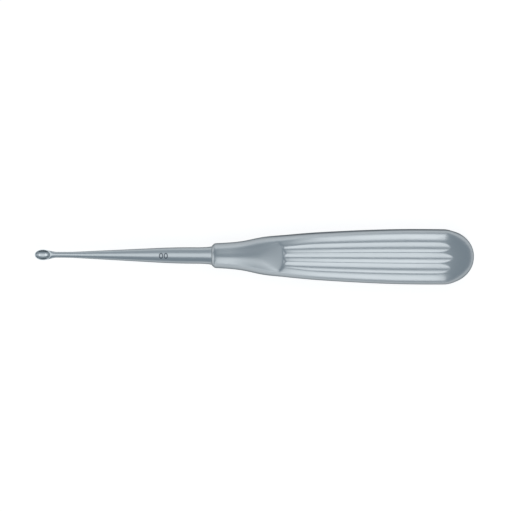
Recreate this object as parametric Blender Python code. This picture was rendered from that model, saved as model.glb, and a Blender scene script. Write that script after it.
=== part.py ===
"""Bone curette, a long-handled spoon for scraping bone, lying on its back.

It is made of two pieces of stainless steel. The shank is forged in one with the
spoon at its tip and a tang at its root. The handle is a hollow, closed grip with
a thumb rest and three flutes on each face, and the tang is brazed into its neck.

The long axis is X, with the spoon at -X and the butt at +X. Z points up, out of
the spoon's open side. The origin is under the middle of the tool, on the plane
that the back of the grip rests on.
"""

import math

import bmesh
import bpy
import numpy as np

MM = 0.001

# Lengths along the tool.
SHANK_LENGTH = 68.4 * MM  # spoon tip to shoulder
HANDLE_LENGTH = 101.6 * MM  # neck face to butt

# Spoon.
CUP_LENGTH = 6.3 * MM
CUP_WIDTH = 4.1 * MM
CUP_DEPTH = 1.45 * MM
CUP_WALL = 0.5 * MM  # under the middle of the cup
RIM_WIDTH = 0.25 * MM
RIM_HEIGHT = 0.7 * MM  # above the shank's axis
HEEL_LENGTH = 5.4 * MM  # from the widest point of the cup back to the waist
HEEL_RISE_START = 5.0 * MM  # from the tip, where the top starts to rise from the rim
HEEL_RISE_END = 7.2 * MM

# Shank.
WAIST_DIAMETER = 2.25 * MM
SHANK_DIAMETER = 6.35 * MM
TAPER_START = 14.0 * MM  # from the tip
TAPER_END = 54.4 * MM  # from the tip
WAIST_BLEND = 7.0 * MM  # length over which the waist eases into the taper
TAPER_BLEND = 14.0 * MM  # length over which the taper eases into the straight shank
SHOULDER_DIAMETER = 7.2 * MM
FLARE_LENGTH = 6.0 * MM
TANG_DIAMETER = 5.2 * MM
TANG_LENGTH = 16.0 * MM
TANG_CHAMFER = 0.6 * MM

# Handle, seen from above: widths at distances from the neck face.
GRIP_WIDTH = 21.05 * MM
NECK_DIAMETER = 9.6 * MM
NECK_LENGTH = 7.0 * MM
NECK_END_WIDTH = 10.3 * MM
FLARE_WIDTH = 11.85 * MM
FLARE_AT = 13.0 * MM
SHOULDER_WIDTH = 0.684 * GRIP_WIDTH
SHOULDER_AT = 19.0 * MM
REST_WIDTH = 0.753 * GRIP_WIDTH
REST_AT = 25.0 * MM
PALM_WIDTH = 0.869 * GRIP_WIDTH
PALM_AT = 42.0 * MM
SWELL_WIDTH = 0.96 * GRIP_WIDTH
SWELL_AT = 60.0 * MM
GRIP_AT = 76.0 * MM
CAP_LENGTH = 12.0 * MM  # rounded butt
CAP_FULLNESS = 2.05  # power of the butt's oval, 2 for an ellipse

# Handle, seen from the side.
GRIP_THICKNESS = 11.8 * MM
LEVEL_AT = 32.0 * MM  # where the handle reaches its full thickness
FLAT_AT = 42.0 * MM  # where the neck's oval has become a section with flat faces
FACE_CAP_LENGTH = 15.3 * MM  # rounding of the faces at the butt
NECK_CHAMFER = 0.95 * MM
HANDLE_WALL = 1.0 * MM
WEB = 1.3 * MM  # steel left under the thumb rest

# Flutes and thumb rest.
FLUTES = 3
FLUTE_PITCH = 4.1 * MM  # where the grip is widest
FLUTE_DEPTH = 0.56 * MM
OUTER_FLUTE_DEPTH = 0.42 * MM
CREST_WIDTH = 0.45 * MM
SIDE_FLUTE_HEIGHT = 4.8 * MM
SIDE_FLUTE_DEPTH = 0.25 * MM
THUMB_START = 19.0 * MM
THUMB_END = 27.4 * MM  # foot of the step up to the flutes
THUMB_DEPTH = 0.75 * MM  # at its end, below the crests
THUMB_CROWN = 60.0 * MM  # radius across its start, from where it flattens towards its end
STEP_BOW = 40.0 * MM  # radius of the step, seen from above
STEP_SLOPE = 0.7  # rise over run

# Clearances.
TANG_GAP = 0.3 * MM
FACE_GAP = 0.3 * MM  # between the shoulder and the neck face
CAVITY_START = 3.0 * MM  # past the end of the tang

# Worked out from the sizes above.
TIP_X = -(SHANK_LENGTH + FACE_GAP + HANDLE_LENGTH) / 2
NECK_X = TIP_X + SHANK_LENGTH + FACE_GAP
AXIS_Z = GRIP_THICKNESS / 2
CAP_AT = HANDLE_LENGTH - CAP_LENGTH
FACE_SHARE = FLUTES * FLUTE_PITCH / GRIP_WIDTH

# Facets.
SHANK_SIDES = 24
FLUTE_STEPS = 4
CORNER_STEPS = 5
SIDE_STEPS = 4
BORE_SIDES = 24


def ease(start, end, x):
    """0 before start, 1 after end, and a smooth step between them."""
    t = min(max((x - start) / (end - start), 0.0), 1.0)
    return t * t * (3 - 2 * t)


def natural_spline(stations):
    """A curve of even bend through (place, value) stations, as a function of the place."""
    places, values = np.array(stations).T
    gaps = np.diff(places)
    count = len(places)
    matrix = np.eye(count)
    right = np.zeros(count)
    slopes = np.diff(values) / gaps
    for i in range(1, count - 1):
        matrix[i, i - 1 : i + 2] = gaps[i - 1], 2 * (gaps[i - 1] + gaps[i]), gaps[i]
        right[i] = 6 * (slopes[i] - slopes[i - 1])
    bends = np.linalg.solve(matrix, right)

    def value(x):
        x = min(max(x, places[0]), places[-1])
        i = min(int(np.searchsorted(places, x, side="right")) - 1, count - 2)
        left, rest, gap = x - places[i], places[i + 1] - x, gaps[i]
        cubic = (bends[i] * rest**3 + bends[i + 1] * left**3) / (6 * gap)
        low = (values[i] / gap - bends[i] * gap / 6) * rest
        high = (values[i + 1] / gap - bends[i + 1] * gap / 6) * left
        return cubic + low + high

    return value


def spread(start, end, count):
    """Evenly spaced places from start up to, but not including, end."""
    return [start + (end - start) * i / count for i in range(count)]


def ellipse_rise(t):
    """Height of a quarter ellipse at t from its foot (0) to its top (1)."""
    return math.sqrt(max(1 - (1 - t) ** 2, 0.0))


def material(name, colour, roughness):
    steel = bpy.data.materials.new(name)
    steel.use_nodes = True
    shader = steel.node_tree.nodes["Principled BSDF"]
    shader.inputs["Base Color"].default_value = (*colour, 1)
    shader.inputs["Metallic"].default_value = 1
    shader.inputs["Roughness"].default_value = roughness
    return steel


def loft(name, rings, first_tip, last_tip):
    """A closed skin over equal rings of points. A tip closes an end in a point, or None in a flat face."""
    mesh = bmesh.new()
    loops = [[mesh.verts.new(point) for point in ring] for ring in rings]
    sides = len(loops[0])
    for near, far in zip(loops, loops[1:]):
        for i in range(sides):
            j = (i + 1) % sides
            mesh.faces.new((near[i], near[j], far[j], far[i]))
    for loop, tip in ((loops[0], first_tip), (loops[-1], last_tip)):
        if tip is None:
            mesh.faces.new(loop)
            continue
        point = mesh.verts.new(tip)
        for i in range(sides):
            mesh.faces.new((loop[i], loop[(i + 1) % sides], point))
    bmesh.ops.recalc_face_normals(mesh, faces=mesh.faces)
    data = bpy.data.meshes.new(name)
    mesh.to_mesh(data)
    mesh.free()
    data.shade_smooth()
    data.set_sharp_from_angle(angle=math.radians(35))
    piece = bpy.data.objects.new(name, data)
    bpy.context.collection.objects.link(piece)
    return piece


def cut(piece, cutter):
    cutter.hide_render = True
    cutter.display_type = "WIRE"
    modifier = piece.modifiers.new(cutter.name, "BOOLEAN")
    modifier.operation = "DIFFERENCE"
    modifier.object = cutter


# Shank and spoon, by the distance from the tip.


def shank_radius(x):
    """Radius of the waist, the taper, the straight shank and its flare."""
    thin, thick = WAIST_DIAMETER / 2, SHANK_DIAMETER / 2
    slope = (thick - thin) / (TAPER_END - TAPER_START)

    def bend(distance, blend):
        """Ramps from 0 to the distance itself, eased over the blend."""
        if distance <= -blend / 2:
            return 0.0
        if distance >= blend / 2:
            return distance
        return (distance + blend / 2) ** 2 / (2 * blend)

    radius = thin + slope * (bend(x - TAPER_START, WAIST_BLEND) - bend(x - TAPER_END, TAPER_BLEND))
    left = min(max((SHANK_LENGTH - x) / FLARE_LENGTH, 0.0), 1.0)
    flare = SHOULDER_DIAMETER / 2 - thick
    return radius + flare * (1 - ellipse_rise(left))


def spoon_half_width(x):
    """Half of the plan width: an oval front, then a heel that eases into the waist."""
    middle = CUP_LENGTH / 2
    if x < middle:
        return CUP_WIDTH / 2 * ellipse_rise(x / middle)
    waist = shank_radius(x)
    return waist + (CUP_WIDTH / 2 - waist) * (1 - ease(middle, middle + HEEL_LENGTH, x))


def spoon_section(x):
    """(height of the edge, rise of the top, drop of the bottom) of the spoon at x."""
    middle = CUP_LENGTH / 2
    heel = ease(HEEL_RISE_START, HEEL_RISE_END, x)
    radius = shank_radius(x)
    edge = RIM_HEIGHT * (1 - heel)
    top = radius * heel
    belly = CUP_DEPTH + CUP_WALL
    if x < middle:
        return edge, top, belly * ellipse_rise(x / middle)
    drop = belly + (radius - belly) * ease(middle, middle + HEEL_LENGTH, x)
    return edge, top, drop


def shank_ring(x):
    half_width = spoon_half_width(x)
    edge, top, drop = spoon_section(x)
    ring = []
    for i in range(SHANK_SIDES):
        angle = 2 * math.pi * i / SHANK_SIDES
        rise = top if i <= SHANK_SIDES / 2 else drop
        z = AXIS_Z + edge + rise * math.sin(angle)
        ring.append((TIP_X + x, half_width * math.cos(angle), z))
    return ring


def tang_ring(x, radius):
    turn = 2 * math.pi / SHANK_SIDES
    points = [(radius * math.cos(turn * i), radius * math.sin(turn * i)) for i in range(SHANK_SIDES)]
    return [(TIP_X + x, y, AXIS_Z + z) for y, z in points]


def shank_places():
    middle = CUP_LENGTH / 2
    waist = middle + HEEL_LENGTH
    flare = SHANK_LENGTH - FLARE_LENGTH
    front = [middle * (1 - math.cos(math.pi / 2 * i / 6)) for i in range(1, 6)]
    places = front + spread(middle, waist, 9) + spread(waist, TAPER_START - WAIST_BLEND / 2, 1)
    places += spread(TAPER_START - WAIST_BLEND / 2, TAPER_START + WAIST_BLEND / 2, 3)
    places += spread(TAPER_START + WAIST_BLEND / 2, TAPER_END - TAPER_BLEND / 2, 3)
    places += spread(TAPER_END - TAPER_BLEND / 2, TAPER_END + TAPER_BLEND / 2, 4)
    places.append(TAPER_END + TAPER_BLEND / 2)
    turns = [math.pi / 2 * i / 6 for i in range(7)]
    return places + [flare + FLARE_LENGTH * math.sin(turn) for turn in turns]


def cup_cutter():
    """The hollow of the spoon, with its top well above the rim."""
    middle = CUP_LENGTH / 2
    half_length, half_width = middle - RIM_WIDTH, CUP_WIDTH / 2 - RIM_WIDTH
    sides, steps = 28, 5
    rim_z = AXIS_Z + RIM_HEIGHT
    rings = []
    for i in range(steps + 1):
        share = math.sin(math.pi / 2 * (i + 1) / (steps + 1))
        z = rim_z - CUP_DEPTH * math.sqrt(1 - share**2)
        turns = [2 * math.pi * j / sides for j in range(sides)]
        ring = [(half_length * share * math.cos(t), half_width * share * math.sin(t)) for t in turns]
        rings.append([(TIP_X + middle + x, y, z) for x, y in ring])
    rings.append([(x, y, rim_z + CUP_DEPTH) for x, y, z in rings[-1]])
    return loft("cup_cutter", rings, (TIP_X + middle, 0, rim_z - CUP_DEPTH), None)


def make_shank():
    rings = [shank_ring(x) for x in shank_places()]
    radius = TANG_DIAMETER / 2
    rings.append(tang_ring(SHANK_LENGTH, radius))
    rings.append(tang_ring(SHANK_LENGTH + TANG_LENGTH - TANG_CHAMFER, radius))
    rings.append(tang_ring(SHANK_LENGTH + TANG_LENGTH, radius - TANG_CHAMFER))
    shank = loft("shank", rings, (TIP_X, 0, AXIS_Z + RIM_HEIGHT), None)
    cut(shank, cup_cutter())
    shank.data.materials.append(material("ground_steel", (0.42, 0.46, 0.48), 0.3))
    return shank


# Handle, by the distance from the neck face.


handle_width = natural_spline(
    [
        (0, NECK_DIAMETER),
        (NECK_LENGTH, NECK_END_WIDTH),
        (FLARE_AT, FLARE_WIDTH),
        (SHOULDER_AT, SHOULDER_WIDTH),
        (REST_AT, REST_WIDTH),
        (PALM_AT, PALM_WIDTH),
        (SWELL_AT, SWELL_WIDTH),
        (GRIP_AT, GRIP_WIDTH),
        (CAP_AT, GRIP_WIDTH),
    ]
)


def cap_share(s, length):
    """1 up to the rounded butt of this length, then a quarter of its oval down to 0 at its end."""
    reach = min(max((s - HANDLE_LENGTH) / length + 1, 0.0), 1.0)
    return (1 - reach**CAP_FULLNESS) ** (1 / CAP_FULLNESS)


def edge_loss(s):
    """What the chamfer of the neck face takes off the radius."""
    return max(NECK_CHAMFER - s, 0.0)


def half_width(s):
    return handle_width(min(s, CAP_AT)) / 2 * cap_share(s, CAP_LENGTH) - edge_loss(s)


def face_height(s):
    """Half of the thickness, without the rounding of the two ends."""
    return (NECK_DIAMETER + (GRIP_THICKNESS - NECK_DIAMETER) * ease(NECK_LENGTH, LEVEL_AT, s)) / 2


def half_thickness(s):
    return face_height(s) * cap_share(s, FACE_CAP_LENGTH) - edge_loss(s)


def flatness(s):
    """0 where the section is an oval, 1 where it has flat faces and sides."""
    return ease(NECK_LENGTH, FLAT_AT, s) * (1 - ease(CAP_AT, HANDLE_LENGTH, s))


def flute_centres():
    return [i - (FLUTES - 1) / 2 for i in range(FLUTES)]


def flute_drop(across):
    """Depth of the flutes at a place across the face, in pitches from its middle."""
    reach = (1 - CREST_WIDTH / FLUTE_PITCH) / 2
    for centre in flute_centres():
        share = (across - centre) / reach
        if abs(share) < 1:
            outer = abs(centre) > (FLUTES - 2) / 2
            depth = OUTER_FLUTE_DEPTH if outer else FLUTE_DEPTH
            return depth * (1 - share**2)
    return 0.0


def past_step(s, y):
    """How far a place is past the foot of the step that ends the thumb rest."""
    return s - THUMB_END + y**2 / (2 * STEP_BOW)


def thumb_floor(s, y):
    """Height of the thumb rest's floor, which flattens towards the step up to the flutes."""
    start, end = face_height(THUMB_START), face_height(THUMB_END) - THUMB_DEPTH
    share = (s - THUMB_START) / (THUMB_END - THUMB_START)
    crown = y**2 / (2 * THUMB_CROWN) * max(1 - share, 0.0)
    return start + (end - start) * share - crown + STEP_SLOPE * max(past_step(s, y), 0.0)


def section_stations():
    """Places round a quarter of the grip, from the side to the middle of a face.

    Each is (share of the half width, share of the side flute's height, share of the corner).
    """
    sides = [(1.0, i / (SIDE_STEPS / 2), 0.0) for i in range(SIDE_STEPS // 2)]
    turns = [math.pi / 2 * i / CORNER_STEPS for i in range(CORNER_STEPS)]
    corners = [(FACE_SHARE + (1 - FACE_SHARE) * math.cos(t), 1.0, math.sin(t)) for t in turns]
    shares = [round(share, 9) for share in face_shares()]
    return sides + corners + [(share, 1.0, 1.0) for share in shares if share >= 0]


def face_shares():
    """Shares of the half width, from one edge of the face to the other, where its facets meet."""
    pitch = FLUTE_PITCH / (GRIP_WIDTH / 2)
    crest = CREST_WIDTH / FLUTE_PITCH
    shares = [FACE_SHARE]
    for centre in reversed(flute_centres()):
        high, low = centre + (1 - crest) / 2, centre - (1 - crest) / 2
        shares += [pitch * (high + (low - high) * i / FLUTE_STEPS) for i in range(FLUTE_STEPS + 1)]
    return shares + [-FACE_SHARE]


def section_point(s, station):
    """(y, z) of one station, blended from the neck's oval to the flat-faced grip."""
    share, side, corner = station
    width, height = half_width(s), half_thickness(s)
    side_height = SIDE_FLUTE_HEIGHT / 2 * height / (GRIP_THICKNESS / 2)
    flat = flatness(s)
    y = width * share - SIDE_FLUTE_DEPTH * flat**2 * (1 - side**2)
    z = side_height * side + (height - side_height) * corner
    turn = math.atan2(z / height, y / width)
    y = width * math.cos(turn) * (1 - flat) + y * flat
    z = height * math.sin(turn) * (1 - flat) + z * flat
    if corner == 1.0 and past_step(s, y) > 0:
        z = min(z, face_height(s) - flute_drop(share * GRIP_WIDTH / 2 / FLUTE_PITCH))
    return y, min(z, thumb_floor(s, y))


def handle_ring(s):
    """The ring of points at s, from the +Y side over the top face."""
    stations = section_stations()
    quarter = [section_point(s, station) for station in stations]
    beyond = stations[:-1] if stations[-1][0] == 0 else stations
    upper = quarter + [(-y, z) for y, z in reversed(quarter[: len(beyond)])]
    return [(NECK_X + s, sign * y, AXIS_Z + sign * z) for sign in (1, -1) for y, z in upper[:-1]]


def handle_places():
    bow = (REST_WIDTH / 3) ** 2 / (2 * STEP_BOW)  # of the step, from the middle to its ends
    step_top = THUMB_END + THUMB_DEPTH / STEP_SLOPE
    turns = [math.pi / 2 * i / 9 for i in range(9)]
    places = [0.0] + spread(NECK_CHAMFER, THUMB_START, 7)
    places += spread(THUMB_START, THUMB_END - bow, 8) + spread(THUMB_END - bow, THUMB_END, 4)
    places += spread(THUMB_END, step_top, 2) + spread(step_top, FLAT_AT, 4)
    places += spread(FLAT_AT, CAP_AT, 13)
    return places + [CAP_AT + CAP_LENGTH * math.sin(turn) for turn in turns]


def cavity_ring(s, half_y, half_z):
    turns = [2 * math.pi * i / BORE_SIDES for i in range(BORE_SIDES)]
    return [(NECK_X + s, half_y * math.cos(t), AXIS_Z + half_z * math.sin(t)) for t in turns]


def cavity_cutter():
    """The bore for the tang and the hollow behind it, which the butt closes."""
    bore = TANG_DIAMETER / 2 + TANG_GAP
    bore_end = TANG_LENGTH + CAVITY_START
    full = THUMB_END + HANDLE_WALL
    deep = GRIP_THICKNESS / 2 - FLUTE_DEPTH - HANDLE_WALL
    wide = SIDE_FLUTE_DEPTH + HANDLE_WALL
    under_thumb = face_height(THUMB_END) - THUMB_DEPTH - WEB
    rings = [cavity_ring(s, bore, bore) for s in (-NECK_DIAMETER, bore_end - NECK_LENGTH, bore_end)]
    for s in spread(bore_end, full, 5)[1:]:
        grown = ease(bore_end, full, s)
        half_y = bore + (half_width(full) - wide - bore) * grown
        half_z = bore + (min(under_thumb, deep) - bore) * min(grown * 2, 1)
        rings.append(cavity_ring(s, half_y, half_z))
    rings.append(cavity_ring(full, half_width(full) - wide, deep))
    end = HANDLE_LENGTH - HANDLE_WALL - FLUTE_DEPTH
    for s in spread(full, CAP_AT, 6)[1:] + [CAP_AT]:
        rings.append(cavity_ring(s, half_width(s) - wide, deep))
    for i in range(1, 5):
        turn = math.pi / 2 * i / 5
        s = CAP_AT + (end - CAP_AT) * math.sin(turn)
        rings.append(cavity_ring(s, (half_width(CAP_AT) - wide) * math.cos(turn), deep * math.cos(turn)))
    return loft("handle_cavity", rings, None, (NECK_X + end, 0, AXIS_Z))


def make_handle():
    rings = [handle_ring(s) for s in handle_places()]
    handle = loft("handle", rings, None, (NECK_X + HANDLE_LENGTH, 0, AXIS_Z))
    cut(handle, cavity_cutter())
    handle.data.materials.append(material("satin_steel", (0.41, 0.44, 0.47), 0.35))
    return handle


def main():
    for old in list(bpy.data.objects):
        bpy.data.objects.remove(old)
    make_shank()
    make_handle()


main()
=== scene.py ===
"""Looks of a bone curette: a satin steel handle and a ground shank with a polished spoon.

Lengths are in metres. X runs along the tool from the spoon to the butt, and Z points
up out of the spoon's open side.
"""

import math

import bpy
import numpy as np
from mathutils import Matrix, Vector


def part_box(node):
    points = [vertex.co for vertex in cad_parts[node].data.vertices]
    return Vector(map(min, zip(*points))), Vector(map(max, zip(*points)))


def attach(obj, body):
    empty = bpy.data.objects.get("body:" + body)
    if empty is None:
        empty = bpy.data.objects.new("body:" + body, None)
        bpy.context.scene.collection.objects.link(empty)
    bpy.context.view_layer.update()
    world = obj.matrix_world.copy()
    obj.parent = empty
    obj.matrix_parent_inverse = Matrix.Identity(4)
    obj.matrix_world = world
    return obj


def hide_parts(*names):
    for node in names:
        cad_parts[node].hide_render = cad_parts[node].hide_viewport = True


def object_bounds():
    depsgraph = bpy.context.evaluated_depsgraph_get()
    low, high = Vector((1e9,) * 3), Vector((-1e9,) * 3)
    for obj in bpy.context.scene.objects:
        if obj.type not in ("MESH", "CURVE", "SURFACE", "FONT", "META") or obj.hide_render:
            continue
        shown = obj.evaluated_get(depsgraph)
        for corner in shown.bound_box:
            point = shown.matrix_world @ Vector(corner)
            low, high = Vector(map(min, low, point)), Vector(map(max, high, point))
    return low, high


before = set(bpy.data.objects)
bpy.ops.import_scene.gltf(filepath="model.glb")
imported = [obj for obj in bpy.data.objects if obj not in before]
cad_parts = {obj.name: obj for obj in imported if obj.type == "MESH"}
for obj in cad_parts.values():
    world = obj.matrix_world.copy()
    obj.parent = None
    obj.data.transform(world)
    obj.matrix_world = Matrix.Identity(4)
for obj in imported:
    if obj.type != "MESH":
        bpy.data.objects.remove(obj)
cad_low, cad_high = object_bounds()

MM = 0.001

# The frame's own places.
shank_low, shank_high = (np.array(corner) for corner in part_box("shank"))
handle_low, handle_high = (np.array(corner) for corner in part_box("handle"))
TIP_X = shank_low[0]
NECK_X = handle_low[0]
HANDLE_LENGTH = handle_high[0] - NECK_X
AXIS_Z = (handle_low[2] + handle_high[2]) / 2
GRIP_WIDTH = handle_high[1] - handle_low[1]
GRIP_THICKNESS = handle_high[2] - handle_low[2]

# Spoon and shank, by the distance from the tip.
FACE_GAP = 0.3 * MM  # between the shoulder and the neck face, in the frame
SEEN_GAP = 0.1 * MM  # what is left of it, beside a fillet of braze
SHANK_LENGTH = NECK_X - TIP_X - FACE_GAP
TANG_LENGTH = shank_high[0] - TIP_X - SHANK_LENGTH
CUP_LENGTH = 6.3 * MM
CUP_WIDTH = 4.1 * MM
CUP_DEPTH = 1.45 * MM
CUP_WALL = 0.5 * MM
RIM_WIDTH = 0.25 * MM
RIM_HEIGHT = 0.7 * MM  # above the shank's axis
BOWL_FULLNESS_ACROSS = 3.2  # powers of the bowl's sections: the higher, the flatter its floor
BOWL_FULLNESS_ALONG = 2.0
HEEL_LENGTH = 5.4 * MM
HEEL_RISE_START = 5.0 * MM
HEEL_RISE_END = 7.2 * MM
WAIST_DIAMETER = 2.25 * MM
SHANK_DIAMETER = 6.35 * MM
TAPER_START = 14.0 * MM
TAPER_END = 54.4 * MM
WAIST_BLEND = 7.0 * MM
TAPER_BLEND = 14.0 * MM
SHOULDER_DIAMETER = 7.2 * MM
FLARE_LENGTH = 6.0 * MM
TANG_DIAMETER = 5.2 * MM
TANG_CHAMFER = 0.6 * MM
TANG_GAP = 0.3 * MM  # round the tang, in the neck's bore

# Size numerals on the shank.
MARK_WIDTH = 1.6 * MM  # of one numeral, along the shank
MARK_HEIGHT = 2.3 * MM
MARK_PITCH = 1.85 * MM
MARK_STROKE = 0.42 * MM
MARK_AT = 50.0 * MM  # middle of the two numerals, from the tip
MARK_SIDE = 0.05 * MM  # their middle, across the shank
MARK_PROUD = 0.008 * MM
MARK_SUNK = 0.05 * MM

# Handle, by the distance from the neck face.
NECK_DIAMETER = 9.6 * MM
NECK_LENGTH = 7.0 * MM
NECK_CHAMFER = 0.95 * MM
LEVEL_AT = 32.0 * MM  # where the grip has its full thickness
FLAT_AT = 42.0 * MM  # where its faces and sides are flat
CAP_LENGTH = 12.0 * MM  # of the rounded butt, seen from above
FACE_CAP_LENGTH = 15.3 * MM  # and seen from the side
CAP_FULLNESS = 2.05
CAP_AT = HANDLE_LENGTH - CAP_LENGTH
REST_WIDTH = 15.85 * MM
HANDLE_WIDTHS = [
    (0, NECK_DIAMETER),
    (NECK_LENGTH, 10.3 * MM),
    (13.0 * MM, 11.85 * MM),
    (19.0 * MM, 14.4 * MM),
    (25.0 * MM, REST_WIDTH),
    (42.0 * MM, 18.3 * MM),
    (60.0 * MM, 20.2 * MM),
    (76.0 * MM, GRIP_WIDTH),
    (CAP_AT, GRIP_WIDTH),
]
HANDLE_WALL = 1.0 * MM
BORE_RADIUS = TANG_DIAMETER / 2 + TANG_GAP
BORE_PAST_TANG = 3.0 * MM

# Flutes and thumb rest.
FLUTES = 3
FLUTE_PITCH = 4.1 * MM
FLUTE_DEPTH = 0.56 * MM
OUTER_FLUTE_DEPTH = 0.42 * MM
CREST_WIDTH = 0.45 * MM
SIDE_FLUTE_HEIGHT = 4.8 * MM
SIDE_FLUTE_DEPTH = 0.25 * MM
FACE_SHARE = FLUTES * FLUTE_PITCH / GRIP_WIDTH
THUMB_START = 19.0 * MM
THUMB_END = 27.4 * MM
THUMB_DEPTH = 0.75 * MM
THUMB_CROWN = 60.0 * MM  # radius of its floor across, at its start
STEP_BOW = 40.0 * MM  # radius of the step's foot, seen from above
STEP_CURL = 1.0 * MM  # how far the ends of the step turn back, besides its bow
STEP_SLOPE = 0.7

# Rounding of edges that the frame leaves sharp.
RIM_ROUND = 0.06 * MM
CHAMFER_ROUND = 0.35 * MM
CREST_ROUND = 0.05 * MM
THUMB_ROUND = 0.2 * MM
STEP_ROUND = 0.3 * MM

# Fineness of the meshes.
SHANK_SIDES = 96
CUP_RINGS = 45
HEEL_SPACING = 0.08 * MM
SHANK_SPACING = 0.6 * MM
FLARE_RINGS = 17
NUMERAL_SIDES = 64
FLUTE_STEPS = 14
CREST_STEPS = 3
CORNER_STEPS = 14
SIDE_STEPS = 10
HANDLE_SPACINGS = [  # how close the handle's rings are, up to a place
    (1.5 * NECK_CHAMFER, 0.08 * MM),
    (THUMB_END - 2.5 * MM, 0.4 * MM),
    (THUMB_END + 1.5 * MM, 0.05 * MM),
    (FLAT_AT, 0.4 * MM),
    (CAP_AT - 4 * MM, 0.7 * MM),
    (CAP_AT, 0.3 * MM),
]
BUTT_RINGS = 70
SHARP_EDGE = math.radians(40)
ON_FACE = 0.98  # height of a corner, as a share, from which it is cut by the flutes


def ease(start, end, x):
    """0 before start, 1 after end, and a smooth step between them."""
    t = np.clip((x - start) / (end - start), 0, 1)
    return t * t * (3 - 2 * t)


def ellipse_rise(t):
    """Height of a quarter ellipse at t from its foot (0) to its top (1)."""
    return np.sqrt(np.maximum(1 - (1 - t) ** 2, 0))


def soft_positive(x, edge):
    """x where it is positive and 0 where it isn't, with a rounded corner."""
    return (x + np.sqrt(x * x + edge * edge)) / 2


def soft_min(a, b, edge):
    """The lower of a and b, with a rounded corner where they cross."""
    return a - soft_positive(a - b, edge)


def natural_spline(stations):
    """A curve of even bend through (place, value) stations, as a function of the place."""
    places, values = np.array(stations, float).T
    gaps = np.diff(places)
    count = len(places)
    matrix = np.eye(count)
    right = np.zeros(count)
    slopes = np.diff(values) / gaps
    for i in range(1, count - 1):
        matrix[i, i - 1 : i + 2] = gaps[i - 1], 2 * (gaps[i - 1] + gaps[i]), gaps[i]
        right[i] = 6 * (slopes[i] - slopes[i - 1])
    bends = np.linalg.solve(matrix, right)

    def value(x):
        x = np.clip(x, places[0], places[-1])
        i = np.minimum(np.searchsorted(places, x, side="right") - 1, count - 2)
        left, rest, gap = x - places[i], places[i + 1] - x, gaps[i]
        cubic = (bends[i] * rest**3 + bends[i + 1] * left**3) / (6 * gap)
        low = (values[i] / gap - bends[i] * gap / 6) * rest
        high = (values[i + 1] / gap - bends[i + 1] * gap / 6) * left
        return cubic + low + high

    return value


def spread(start, end, step):
    """Evenly spaced places from start up to, but not including, end."""
    return list(np.linspace(start, end, max(round((end - start) / step), 1), endpoint=False))


def oval_rings(rows, turn):
    """Rings round the tool's axis, from rows of a place on X, a half width and a half height."""
    rings = []
    for x, half_y, half_z in rows:
        y, z = half_y * np.cos(turn), half_z * np.sin(turn)
        rings.append(np.stack([np.full_like(turn, x), y, AXIS_Z + z], axis=-1))
    return np.array(rings)


def skin(name, grid, tips):
    """A closed piece over a grid of points (rings, sides, xyz). Each end closes in a point.

    The sides turn from +Y to +Z. Rings that run along +X face outwards, and those of a
    hollow run back along -X and face into it.
    """
    rings, sides = grid.shape[:2]
    points = np.concatenate([grid.reshape(-1, 3), np.array(tips, float)])
    row, side = np.meshgrid(np.arange(rings - 1), np.arange(sides), indexing="ij")
    beside = (side + 1) % sides
    here, ahead = row * sides, (row + 1) * sides
    quads = np.stack([here + side, here + beside, ahead + beside, ahead + side])
    faces = quads.reshape(4, -1).T.tolist()
    last = (rings - 1) * sides
    faces += [((i + 1) % sides, i, rings * sides) for i in range(sides)]
    faces += [(last + i, last + (i + 1) % sides, rings * sides + 1) for i in range(sides)]
    mesh = bpy.data.meshes.new(name)
    mesh.from_pydata(points.tolist(), [], faces)
    mesh.shade_smooth()
    mesh.set_sharp_from_angle(angle=SHARP_EDGE)
    piece = bpy.data.objects.new(name, mesh)
    bpy.context.collection.objects.link(piece)
    return piece


# Shank and spoon.


def shank_radius(x):
    """Radius of the waist, the taper, the straight shank and its flare."""
    thin, thick = WAIST_DIAMETER / 2, SHANK_DIAMETER / 2
    slope = (thick - thin) / (TAPER_END - TAPER_START)

    def bend(distance, blend):
        """Ramps from 0 to the distance itself, eased over the blend."""
        half = blend / 2
        eased = (np.clip(distance, -half, half) + half) ** 2 / (2 * blend)
        return eased + np.maximum(distance - half, 0)

    radius = thin + slope * (bend(x - TAPER_START, WAIST_BLEND) - bend(x - TAPER_END, TAPER_BLEND))
    left = np.clip((SHANK_LENGTH - x) / FLARE_LENGTH, 0, 1)
    flare = SHOULDER_DIAMETER / 2 - thick
    return radius + flare * (1 - ellipse_rise(left))


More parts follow.
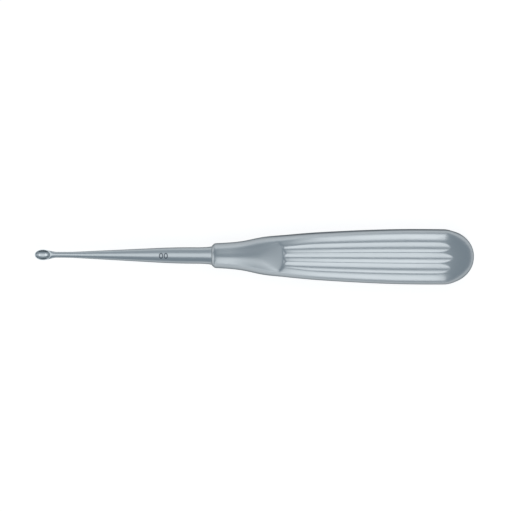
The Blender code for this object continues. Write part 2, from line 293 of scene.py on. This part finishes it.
def shank_grid():
    """Rings round the spoon and the shank, with the bowl pressed into the rings' tops."""
    middle = CUP_LENGTH / 2
    flare_start = SHANK_LENGTH - FLARE_LENGTH
    turns = np.linspace(0, math.pi / 2, CUP_RINGS, endpoint=False)[1:]
    places = list(middle * (1 - np.cos(turns)))
    places += spread(middle, middle + HEEL_LENGTH, HEEL_SPACING)
    places += spread(middle + HEEL_LENGTH, flare_start, SHANK_SPACING)
    turns = np.linspace(0, math.pi / 2, FLARE_RINGS)
    places += list(flare_start + FLARE_LENGTH * np.sin(turns))
    x = np.array(places)[:, None]
    angle = (2 * math.pi * np.arange(SHANK_SIDES) / SHANK_SIDES)[None, :]

    radius = shank_radius(x)
    to_heel = ease(middle, middle + HEEL_LENGTH, x)
    front = ellipse_rise(x / middle)
    narrowed = radius + (CUP_WIDTH / 2 - radius) * (1 - to_heel)
    half_width = np.where(x < middle, CUP_WIDTH / 2 * front, narrowed)
    heel = ease(HEEL_RISE_START, HEEL_RISE_END, x)
    belly = CUP_DEPTH + CUP_WALL
    drop = np.where(x < middle, belly * front, belly + (radius - belly) * to_heel)
    y = half_width * np.cos(angle)
    on_top = np.sin(angle) >= 0
    z = RIM_HEIGHT * (1 - heel) + np.where(on_top, radius * heel, drop) * np.sin(angle)

    along = (x - middle) / (middle - RIM_WIDTH)
    across = y / (CUP_WIDTH / 2 - RIM_WIDTH)
    reach = np.hypot(along, across)
    sideways = across**2 / np.maximum(reach, 0.001) ** 2  # the reach is 0 at the middle
    fullness = BOWL_FULLNESS_ALONG + (BOWL_FULLNESS_ACROSS - BOWL_FULLNESS_ALONG) * sideways
    bowl = soft_positive(CUP_DEPTH * (1 - reach**fullness), RIM_ROUND)
    z = z - np.where(on_top, bowl, 0)
    return np.stack(np.broadcast_arrays(TIP_X + x, y, AXIS_Z + z), axis=-1)


def tang_grid():
    """Rings of the shoulder's face and of the tang, which is chamfered at its end."""
    radius = TANG_DIAMETER / 2
    end = SHANK_LENGTH + TANG_LENGTH
    shoulder = SHANK_LENGTH + FACE_GAP - SEEN_GAP
    steps = [(shoulder, SHOULDER_DIAMETER / 2), (shoulder, radius)]
    steps += [(end - TANG_CHAMFER, radius), (end, radius - TANG_CHAMFER)]
    turn = 2 * math.pi * np.arange(SHANK_SIDES) / SHANK_SIDES
    return oval_rings([(TIP_X + x, r, r) for x, r in steps], turn)


def make_shank():
    grid = np.concatenate([shank_grid(), tang_grid()])
    tips = [(TIP_X, 0, AXIS_Z + RIM_HEIGHT), (shank_high[0], 0, AXIS_Z)]
    shank = skin("shank_forging", grid, tips)
    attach(shank, "root")
    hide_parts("shank")
    return shank


def numeral_grid(middle):
    """A zero let into the top of the shank, as four closed lines along its stroke's corners."""
    turns = 2 * math.pi * np.arange(NUMERAL_SIDES) / NUMERAL_SIDES
    inner = -MARK_STROKE
    corners = [(0, MARK_PROUD), (0, -MARK_SUNK), (inner, -MARK_SUNK), (inner, MARK_PROUD)]
    lines = []
    for grown, height in corners:
        x = middle + (MARK_WIDTH / 2 + grown) * np.cos(turns)
        y = MARK_SIDE + (MARK_HEIGHT / 2 + grown) * np.sin(turns)
        z = np.sqrt((shank_radius(x) + height) ** 2 - y**2)
        lines.append(np.stack([TIP_X + x, y, AXIS_Z + z], axis=-1))
    return np.array(lines)


def make_size_mark():
    points, faces = [], []
    for offset in (-MARK_PITCH / 2, MARK_PITCH / 2):
        grid = numeral_grid(MARK_AT + offset)
        rows, sides = grid.shape[:2]
        start = len(points)
        points += grid.reshape(-1, 3).tolist()
        for row in range(rows):
            near, far = start + row * sides, start + (row + 1) % rows * sides
            for i in range(sides):
                beside = (i + 1) % sides
                faces.append((near + i, far + i, far + beside, near + beside))
    mesh = bpy.data.meshes.new("size_mark")
    mesh.from_pydata(points, [], faces)
    mark = bpy.data.objects.new("size_mark", mesh)
    bpy.context.collection.objects.link(mark)
    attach(mark, "root")
    return mark


# Handle.

handle_width = natural_spline(HANDLE_WIDTHS)


def cap_share(s, length):
    """1 up to the rounded butt of this length, then a quarter of its oval down to 0 at its end."""
    reach = np.clip((s - HANDLE_LENGTH) / length + 1, 0, 1)
    return (1 - reach**CAP_FULLNESS) ** (1 / CAP_FULLNESS)


def edge_loss(s):
    """What the chamfer of the neck face takes off the radius."""
    return soft_positive(NECK_CHAMFER - s, CHAMFER_ROUND)


def face_height(s):
    """Half of the thickness, without the rounding of the two ends."""
    return (NECK_DIAMETER + (GRIP_THICKNESS - NECK_DIAMETER) * ease(NECK_LENGTH, LEVEL_AT, s)) / 2


def flatness(s):
    """0 where the section is an oval, 1 where it has flat faces and sides."""
    return ease(NECK_LENGTH, FLAT_AT, s) * (1 - ease(CAP_AT, HANDLE_LENGTH, s))


def flute_drop(across):
    """Depth of the flutes at a place across the face, in pitches from its middle."""
    reach = (1 - CREST_WIDTH / FLUTE_PITCH) / 2
    drop = np.zeros_like(across)
    for i in range(FLUTES):
        centre = i - (FLUTES - 1) / 2
        depth = OUTER_FLUTE_DEPTH if abs(centre) > (FLUTES - 2) / 2 else FLUTE_DEPTH
        drop += soft_positive(depth * (1 - ((across - centre) / reach) ** 2), CREST_ROUND)
    return drop


def past_step(s, y):
    """How far a place is past the foot of the step that ends the thumb rest."""
    return s - THUMB_END + y**2 / (2 * STEP_BOW) + STEP_CURL * (y / (REST_WIDTH / 3)) ** 4


def thumb_floor(s, y):
    """Height of the thumb rest's floor, which flattens towards the step, and of the step."""
    start, end = face_height(THUMB_START), face_height(THUMB_END) - THUMB_DEPTH
    share = (s - THUMB_START) / (THUMB_END - THUMB_START)
    crown = y**2 / (2 * THUMB_CROWN) * np.maximum(1 - share, 0)
    step = STEP_SLOPE * soft_positive(past_step(s, y), STEP_ROUND)
    return start + (end - start) * share - crown + step


def section_stations():
    """Places round a quarter of the grip, from the side to the middle of a face.

    The columns are the share of the half width, of the side flute's height and of the corner.
    """
    rows = [(1.0, i / (SIDE_STEPS / 2), 0.0) for i in range(SIDE_STEPS // 2)]
    for i in range(CORNER_STEPS):
        turn = math.pi / 2 * i / CORNER_STEPS
        rows.append((FACE_SHARE + (1 - FACE_SHARE) * math.cos(turn), 1.0, math.sin(turn)))
    pitch, crest = FLUTE_PITCH / (GRIP_WIDTH / 2), CREST_WIDTH / FLUTE_PITCH
    shares = [FACE_SHARE]
    for i in reversed(range(FLUTES)):
        centre = i - (FLUTES - 1) / 2
        outer, inner = centre + (1 - crest) / 2, centre - (1 - crest) / 2
        flute = np.linspace(outer, inner, FLUTE_STEPS + 1)
        top = np.linspace(inner, inner - crest, CREST_STEPS, endpoint=False)[1:]
        shares += list(pitch * flute) + list(pitch * top)
    rows += [(share, 1.0, 1.0) for share in np.round(shares, 9) if share >= 0]
    return np.array(rows)


def handle_grid():
    """Rings round the outside of the handle, from the neck face to the butt."""
    places, start = [], 0
    for end, step in HANDLE_SPACINGS:
        places += spread(start, end, step)
        start = end
    turns = np.linspace(0, math.pi / 2, BUTT_RINGS, endpoint=False)
    places += list(CAP_AT + CAP_LENGTH * np.sin(turns))
    s = np.array(places)[:, None]
    share, side, corner = section_stations().T[:, None, :]

    width = handle_width(np.minimum(s, CAP_AT)) / 2 * cap_share(s, CAP_LENGTH) - edge_loss(s)
    height = face_height(s) * cap_share(s, FACE_CAP_LENGTH) - edge_loss(s)
    flat = flatness(s)
    side_height = SIDE_FLUTE_HEIGHT / 2 * height / (GRIP_THICKNESS / 2)
    y = width * share - SIDE_FLUTE_DEPTH * flat**2 * (1 - side**2)
    z = side_height * side + (height - side_height) * corner
    turn = np.arctan2(z / height, y / width)
    y = width * np.cos(turn) * (1 - flat) + y * flat
    z = height * np.sin(turn) * (1 - flat) + z * flat

    floor = face_height(s) - flute_drop(share * GRIP_WIDTH / 2 / FLUTE_PITCH)
    fluted = (corner > ON_FACE) & (past_step(s, y) > 0)
    z = np.where(fluted, soft_min(z, floor, CREST_ROUND / 2), z)
    z = soft_min(z, thumb_floor(s, y), THUMB_ROUND)

    quarter = np.stack(np.broadcast_arrays(y, z), axis=-1)
    beyond = quarter[:, :-1] if share[0, -1] == 0 else quarter
    upper = np.concatenate([quarter, beyond[:, ::-1] * (-1, 1)], axis=1)[:, :-1]
    ring = np.concatenate([upper, -upper], axis=1)
    along = np.broadcast_to(NECK_X + s, ring.shape[:2])
    return np.stack([along, ring[..., 0], AXIS_Z + ring[..., 1]], axis=-1)


def cavity_grid(outside):
    """Rings of the bore and the hollow, from the butt's inside to the neck face."""
    turn = np.arctan2(outside[0, :, 2] - AXIS_Z, outside[0, :, 1])
    bore_end = TANG_LENGTH + BORE_PAST_TANG
    full = THUMB_END + HANDLE_WALL
    end = HANDLE_LENGTH - 2 * HANDLE_WALL
    deep = GRIP_THICKNESS / 2 - FLUTE_DEPTH - HANDLE_WALL
    thin = deep - THUMB_DEPTH
    wide = SIDE_FLUTE_DEPTH + HANDLE_WALL
    rows = []
    for angle in np.linspace(math.pi / 2, 0, 12, endpoint=False)[1:]:
        s = CAP_AT + (end - CAP_AT) * math.sin(angle)
        rows.append((s, (GRIP_WIDTH / 2 - wide) * math.cos(angle), deep * math.cos(angle)))
    for s in np.linspace(CAP_AT, full, 20):
        rows.append((s, float(handle_width(s)) / 2 - wide, deep))
    for share in np.linspace(1, 0, 10)[1:]:
        s = bore_end + (full - bore_end) * share
        grown = float(ease(0, 1, share))
        half_y = BORE_RADIUS + (float(handle_width(full)) / 2 - wide - BORE_RADIUS) * grown
        rows.append((s, half_y, BORE_RADIUS + (thin - BORE_RADIUS) * min(2 * grown, 1)))
    rows += [(bore_end / 2, BORE_RADIUS, BORE_RADIUS), (0, BORE_RADIUS, BORE_RADIUS)]
    return oval_rings([(NECK_X + s, half_y, half_z) for s, half_y, half_z in rows], turn)


def make_handle():
    outside = handle_grid()
    grid = np.concatenate([cavity_grid(outside), outside])
    end = NECK_X + HANDLE_LENGTH
    tips = [(end - 2 * HANDLE_WALL, 0, AXIS_Z), (end, 0, AXIS_Z)]
    handle = skin("handle_shell", grid, tips)
    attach(handle, "root")
    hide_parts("handle")
    return handle


# Materials.

SATIN_COLOUR = (0.41, 0.444, 0.466, 1)
SATIN_ROUGHNESS = 0.30, 0.36
GROUND_COLOUR = (0.42, 0.457, 0.48, 1)
SHANK_ROUGHNESS = 0.34
SPOON_ROUGHNESS = 0.18
EDGE_TINT = (0.1, 0.11, 0.12, 1)  # of the steel where it is seen at a low angle
OXIDE_COLOURS = (0.08, 0.095, 0.115, 1), (0.13, 0.15, 0.175, 1)
OXIDE_ROUGHNESS = 0.5, 0.7


def new_material(name):
    material = bpy.data.materials.new(name)
    material.use_nodes = True
    return material, material.node_tree, material.node_tree.nodes["Principled BSDF"]


def new_steel(name, colour):
    steel, tree, shader = new_material(name)
    shader.inputs["Base Color"].default_value = colour
    shader.inputs["Specular Tint"].default_value = EDGE_TINT
    shader.inputs["Metallic"].default_value = 1
    return steel, tree, shader


def own_place(tree):
    return tree.nodes.new("ShaderNodeTexCoord").outputs["Object"]


def noise(tree, place, scale, detail=2):
    texture = tree.nodes.new("ShaderNodeTexNoise")
    texture.inputs["Scale"].default_value = scale
    texture.inputs["Detail"].default_value = detail
    tree.links.new(place, texture.inputs["Vector"])
    return texture.outputs["Fac"]


def emboss(tree, shader, height, strength, distance):
    bump = tree.nodes.new("ShaderNodeBump")
    bump.inputs["Strength"].default_value = strength
    bump.inputs["Distance"].default_value = distance
    tree.links.new(height, bump.inputs["Height"])
    tree.links.new(bump.outputs["Normal"], shader.inputs["Normal"])


def roughen(tree, shader, value, low, high):
    """Roughness from low to high as the value goes from 0 to 1, or over the range set on it."""
    spread_out = tree.nodes.new("ShaderNodeMapRange")
    spread_out.inputs["To Min"].default_value = low
    spread_out.inputs["To Max"].default_value = high
    tree.links.new(value, spread_out.inputs["Value"])
    tree.links.new(spread_out.outputs["Result"], shader.inputs["Roughness"])
    return spread_out


def satin_steel():
    """Steel with a fine even grain and slow changes of its roughness."""
    steel, tree, shader = new_steel("satin_steel", SATIN_COLOUR)
    place = own_place(tree)
    grain = noise(tree, place, scale=6000)
    emboss(tree, shader, grain, strength=0.08, distance=0.02 * MM)
    roughen(tree, shader, noise(tree, place, scale=90), *SATIN_ROUGHNESS)
    return steel


def ground_steel():
    """Steel ground round and round, which spreads its shine along X, with a polished spoon."""
    steel, tree, shader = new_steel("ground_steel", GROUND_COLOUR)
    shader.inputs["Anisotropic"].default_value = 0.5
    shader.inputs["Anisotropic Rotation"].default_value = 0.25
    around = tree.nodes.new("ShaderNodeTangent")
    around.direction_type = "RADIAL"
    around.axis = "X"
    tree.links.new(around.outputs["Tangent"], shader.inputs["Tangent"])

    place = own_place(tree)
    rings = tree.nodes.new("ShaderNodeMapping")
    rings.inputs["Scale"].default_value = (12, 1, 1)
    tree.links.new(place, rings.inputs["Vector"])
    grinding = noise(tree, rings.outputs["Vector"], scale=1500, detail=3)
    emboss(tree, shader, grinding, strength=0.1, distance=0.01 * MM)

    split = tree.nodes.new("ShaderNodeSeparateXYZ")
    tree.links.new(place, split.inputs["Vector"])
    polish = roughen(tree, shader, split.outputs["X"], SPOON_ROUGHNESS, SHANK_ROUGHNESS)
    polish.inputs["From Min"].default_value = TIP_X + CUP_LENGTH + HEEL_LENGTH
    polish.inputs["From Max"].default_value = TIP_X + TAPER_START + WAIST_BLEND
    return steel


def dark_mark():
    """The burnt oxide of marked numerals, a little uneven."""
    oxide, tree, shader = new_material("dark_mark")
    shader.inputs["Metallic"].default_value = 0.4
    patches = noise(tree, own_place(tree), scale=5000)
    tones = tree.nodes.new("ShaderNodeValToRGB")
    for element, colour in zip(tones.color_ramp.elements, OXIDE_COLOURS):
        element.color = colour
    tree.links.new(patches, tones.inputs["Fac"])
    tree.links.new(tones.outputs["Color"], shader.inputs["Base Color"])
    roughen(tree, shader, patches, *OXIDE_ROUGHNESS)
    return oxide


# Stage.

FLOOR_SIZE = 6
FLOOR_COLOUR = (0.35, 0.35, 0.35, 1)
FLOOR_GLOW = (0.78, 0.78, 0.78, 1)  # added where the camera or the steel's shine sees the floor
WORLD_COLOUR = (0.42, 0.48, 0.53, 1)
LAMP_COLOUR = (1, 0.965, 0.93)


def make_floor():
    bpy.ops.mesh.primitive_plane_add(size=FLOOR_SIZE, location=(0, 0, 0))
    floor = bpy.context.object
    floor.name = "floor"
    paper, tree, shader = new_material("paper")
    shader.inputs["Base Color"].default_value = FLOOR_COLOUR
    shader.inputs["Roughness"].default_value = 1
    shader.inputs["Specular IOR Level"].default_value = 0
    shader.inputs["Emission Color"].default_value = FLOOR_GLOW
    path = tree.nodes.new("ShaderNodeLightPath")
    seen = tree.nodes.new("ShaderNodeMath")
    seen.operation = "MAXIMUM"
    tree.links.new(path.outputs["Is Camera Ray"], seen.inputs[0])
    tree.links.new(path.outputs["Is Glossy Ray"], seen.inputs[1])
    tree.links.new(seen.outputs["Value"], shader.inputs["Emission Strength"])
    floor.data.materials.append(paper)
    return floor


def panel(name, place, length, width, glow, lit):
    """A panel of light that faces straight down. Its glow is what a mirror shows of it."""
    lamp = bpy.data.lights.new(name, "AREA")
    lamp.shape = "RECTANGLE"
    lamp.color = LAMP_COLOUR
    lamp.size = length
    lamp.size_y = width
    lamp.energy = glow * math.pi * length * width
    light = bpy.data.objects.new(name, lamp)
    light.location = place
    light.light_linking.receiver_collection = lit
    bpy.context.collection.objects.link(light)
    return light


def softbox(name, start, end, lean, span, glow, lit, distance=0.4):
    """A panel over the tool, from start to end along it, that faces its axis.

    It leans from straight up towards +Y and spans an angle round the axis, both in degrees.
    """
    lean = math.radians(lean)
    up = Vector((0, math.sin(lean), math.cos(lean)))
    place = Vector(((start + end) / 2, 0, AXIS_Z)) + distance * up
    width = 2 * distance * math.tan(math.radians(span / 2))
    light = panel(name, place, end - start, width, glow, lit)
    light.rotation_euler = (-lean, 0, 0)


def card(name, place, goal, size, glow, lit):
    """A square panel beyond an end of the tool that faces a place on its axis."""
    place = Vector(place)
    light = panel(name, place, size, size, glow, lit)
    light.rotation_euler = (Vector((goal, 0, AXIS_Z)) - place).to_track_quat("-Z", "Y").to_euler()


def group(name, pieces):
    """A collection that isn't in the scene, to say what a light falls on."""
    collection = bpy.data.collections.new(name)
    for piece in pieces:
        collection.objects.link(piece)
    return collection


def make_lights(shank, mark, handle, floor):
    by_handle = group("lit_with_the_handle", [handle, floor])
    by_shank = group("lit_with_the_shank", [shank, mark])
    softbox("front_softbox", -0.058, 0.18, -39, 56, 1.38, by_handle)
    softbox("low_softbox", -0.2, 0.0, -78, 36, 0.62, by_handle)
    softbox("back_softbox", 0.007, 0.135, 42, 54, 1.46, by_handle, distance=0.2)
    softbox("side_softbox", -0.15, 0.04, 81, 22, 0.8, by_handle)
    softbox("shank_softbox", -0.8, 0.5, 9, 54, 0.86, by_shank)
    softbox("shank_fill", -0.8, 0.5, 62, 50, 0.17, by_shank)
    card("neck_card", (-0.42, -0.1, 0.13), 0, 0.34, 0.8, by_handle)
    card("tip_card", (-0.5, -0.05, 0.3), TIP_X, 0.36, 0.5, by_shank)
    card("heel_card", (0.35, -0.05, 0.3), TIP_X, 0.36, 0.5, by_shank)
    world = bpy.data.worlds.new("world")
    bpy.context.scene.world = world
    world.use_nodes = True
    back = world.node_tree.nodes["Background"]
    back.inputs["Color"].default_value = WORLD_COLOUR
    back.inputs["Strength"].default_value = 1


# Camera. The picture is square, and its places are in pixels of the photograph.

PICTURE = 512
TOOL_PIXELS = 439.0  # length of the tool
TIP_PIXEL = 35.8  # the tip, from the left
AXIS_PIXEL = 255.8  # the axis, from the top
CAMERA_DISTANCE = 0.7
CAMERA_LEAN = math.radians(5.4)
CAMERA_ROLL = math.radians(0.3)


def make_camera():
    pixel = (cad_high[0] - cad_low[0]) / TOOL_PIXELS
    middle_x = cad_low[0] + (PICTURE / 2 - TIP_PIXEL) * pixel
    target = Vector((middle_x, (AXIS_PIXEL - PICTURE / 2) * pixel, AXIS_Z))
    away = Vector((0, math.sin(CAMERA_LEAN), math.cos(CAMERA_LEAN)))
    camera = bpy.data.cameras.new("camera")
    camera.angle = 2 * math.atan(PICTURE * pixel / 2 / CAMERA_DISTANCE)
    camera.clip_start = 0.01
    view = bpy.data.objects.new("camera", camera)
    view.location = target + CAMERA_DISTANCE * away
    view.rotation_euler = (-CAMERA_LEAN, 0, CAMERA_ROLL)
    bpy.context.collection.objects.link(view)
    bpy.context.scene.camera = view


def main():
    shank, mark, handle = make_shank(), make_size_mark(), make_handle()
    shank.data.materials.append(ground_steel())
    mark.data.materials.append(dark_mark())
    handle.data.materials.append(satin_steel())
    make_lights(shank, mark, handle, make_floor())
    make_camera()
    bpy.context.scene.view_settings.view_transform = "Standard"


main()
